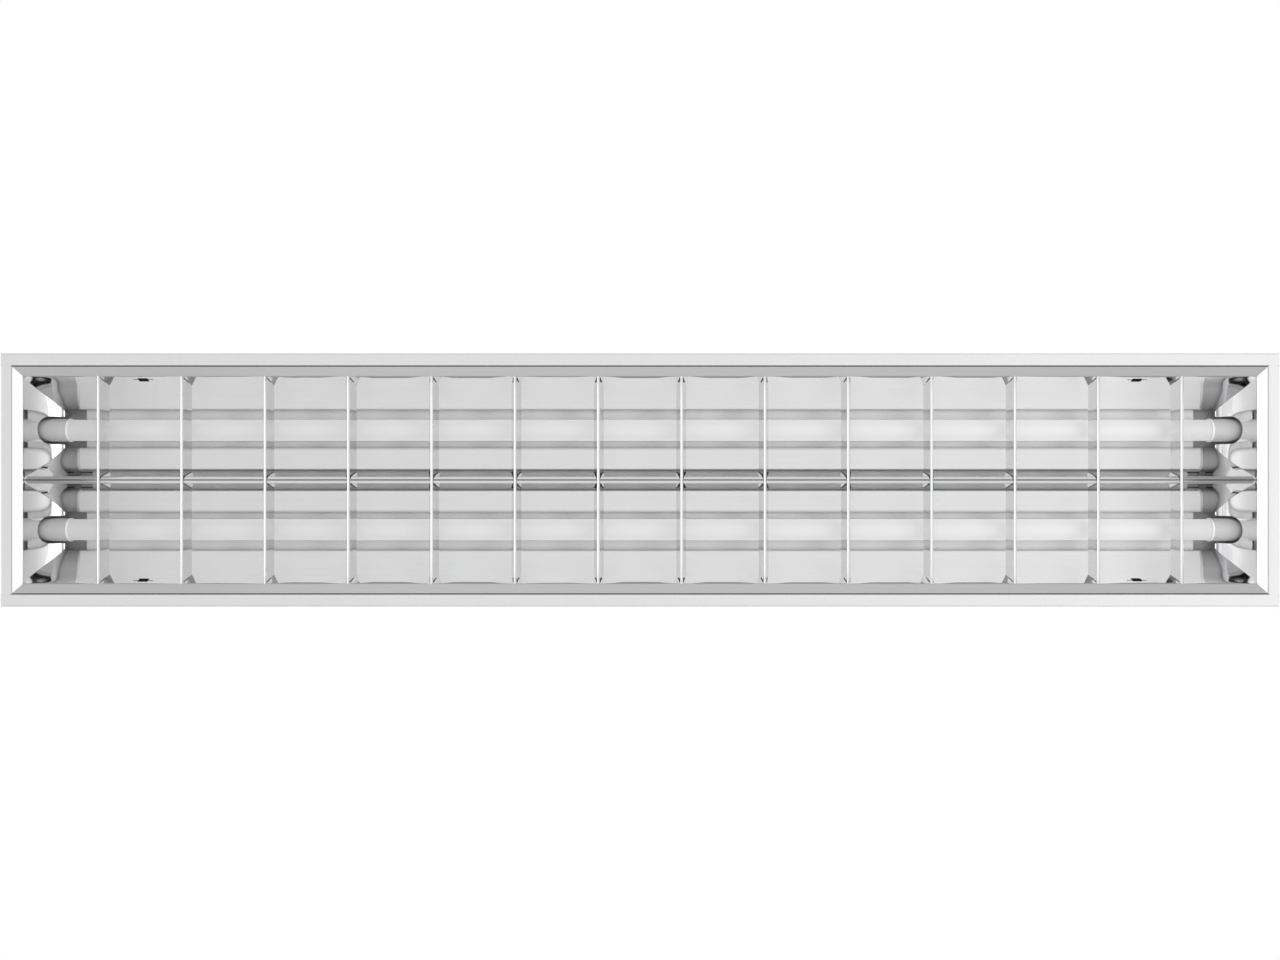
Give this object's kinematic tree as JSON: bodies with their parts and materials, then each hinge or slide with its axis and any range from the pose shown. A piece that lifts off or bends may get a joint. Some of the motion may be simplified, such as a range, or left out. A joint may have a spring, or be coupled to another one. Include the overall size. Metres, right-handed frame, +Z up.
{
  "type": "louvre ceiling luminaire",
  "caption": "Long surface-mounted ceiling light: white sheet-steel housing, polished aluminium cross-blade louvre and straight tube lamps in rotary holders.",
  "frame": {"origin": "middle of the ceiling face, the flat top of the housing", "axes": "+X along the lamps, +Y across them, +Z up into the ceiling"},
  "size_m": [1.54, 0.305, 0.08],
  "materials": {
    "housing_paint": "white satin powder coat",
    "cover_paint": "white satin powder coat",
    "reflector_aluminium": "bright anodised, semi-specular",
    "blade_aluminium": "bright anodised, semi-specular",
    "tube_frosted": "frosted white diffuser",
    "cap_plastic": "light grey, satin",
    "led_board": "white solder mask",
    "driver_board": "green circuit board",
    "holder_plastic": "white, satin gloss",
    "contact_brass": "plain",
    "spring_steel": "black phosphated spring steel",
    "screw_steel": "zinc plated",
    "terminal_plastic": "off-white",
    "clip_plastic": "off-white",
    "grommet_rubber": "matt black",
    "wire_insulation": "smooth",
    "earth_insulation": "smooth"
  },
  "bodies": {
    "housing": {"housing_top": "housing_paint", "housing_side_front": "housing_paint", "housing_side_rear": "housing_paint", "end_plate_left": "housing_paint", "end_plate_right": "housing_paint", "gear_cover": "cover_paint", "gear_cover_screws": "screw_steel", "holder_bracket_left": "housing_paint", "holder_bracket_right": "housing_paint", "lampholder_front_left": "holder_plastic", "lampholder_front_right": "holder_plastic", "lampholder_rear_left": "holder_plastic", "lampholder_rear_right": "holder_plastic", "lampholder_contacts": "contact_brass", "latch_spring_front_left": "spring_steel", "latch_spring_front_right": "spring_steel", "latch_spring_rear_left": "spring_steel", "latch_spring_rear_right": "spring_steel", "terminal_block": "terminal_plastic", "terminal_screws": "screw_steel", "cable_grommet": "grommet_rubber", "earth_screw": "screw_steel", "earth_wire": "earth_insulation", "lamp_wires": "wire_insulation", "wire_clips": "clip_plastic"},
    "louvre": {"side_reflector_front": "reflector_aluminium", "side_reflector_rear": "reflector_aluminium", "centre_reflector": "reflector_aluminium", "end_reflector_left": "reflector_aluminium", "end_reflector_right": "reflector_aluminium", "blade_01": "blade_aluminium", "blade_02": "blade_aluminium", "blade_03": "blade_aluminium", "blade_04": "blade_aluminium", "blade_05": "blade_aluminium", "blade_06": "blade_aluminium", "blade_07": "blade_aluminium", "blade_08": "blade_aluminium", "blade_09": "blade_aluminium", "blade_10": "blade_aluminium", "blade_11": "blade_aluminium", "blade_12": "blade_aluminium", "blade_13": "blade_aluminium", "blade_14": "blade_aluminium"},
    "lamp_front": {"lamp_front_tube": "tube_frosted", "lamp_front_led_board": "led_board", "lamp_front_driver": "driver_board", "lamp_front_cap_left": "cap_plastic", "lamp_front_cap_right": "cap_plastic", "lamp_front_pins": "contact_brass", "lamp_front_rotor_left": "holder_plastic", "lamp_front_rotor_right": "holder_plastic"},
    "lamp_rear": {"lamp_rear_tube": "tube_frosted", "lamp_rear_led_board": "led_board", "lamp_rear_driver": "driver_board", "lamp_rear_cap_left": "cap_plastic", "lamp_rear_cap_right": "cap_plastic", "lamp_rear_pins": "contact_brass", "lamp_rear_rotor_left": "holder_plastic", "lamp_rear_rotor_right": "holder_plastic"}
  },
  "joints": [
    {"name": "louvre_release", "type": "slide", "parent": "housing", "child": "louvre", "axis": [0, 0, -1], "range_m": [0, 0.08]},
    {"name": "lamp_front_twist", "type": "hinge", "parent": "housing", "child": "lamp_front", "pos_m": [0, -0.0618, -0.03], "axis": [1, 0, 0], "range_deg": [0, 90]},
    {"name": "lamp_rear_twist", "type": "hinge", "parent": "housing", "child": "lamp_rear", "pos_m": [0, 0.0618, -0.03], "axis": [1, 0, 0], "range_deg": [0, 90]}
  ]
}
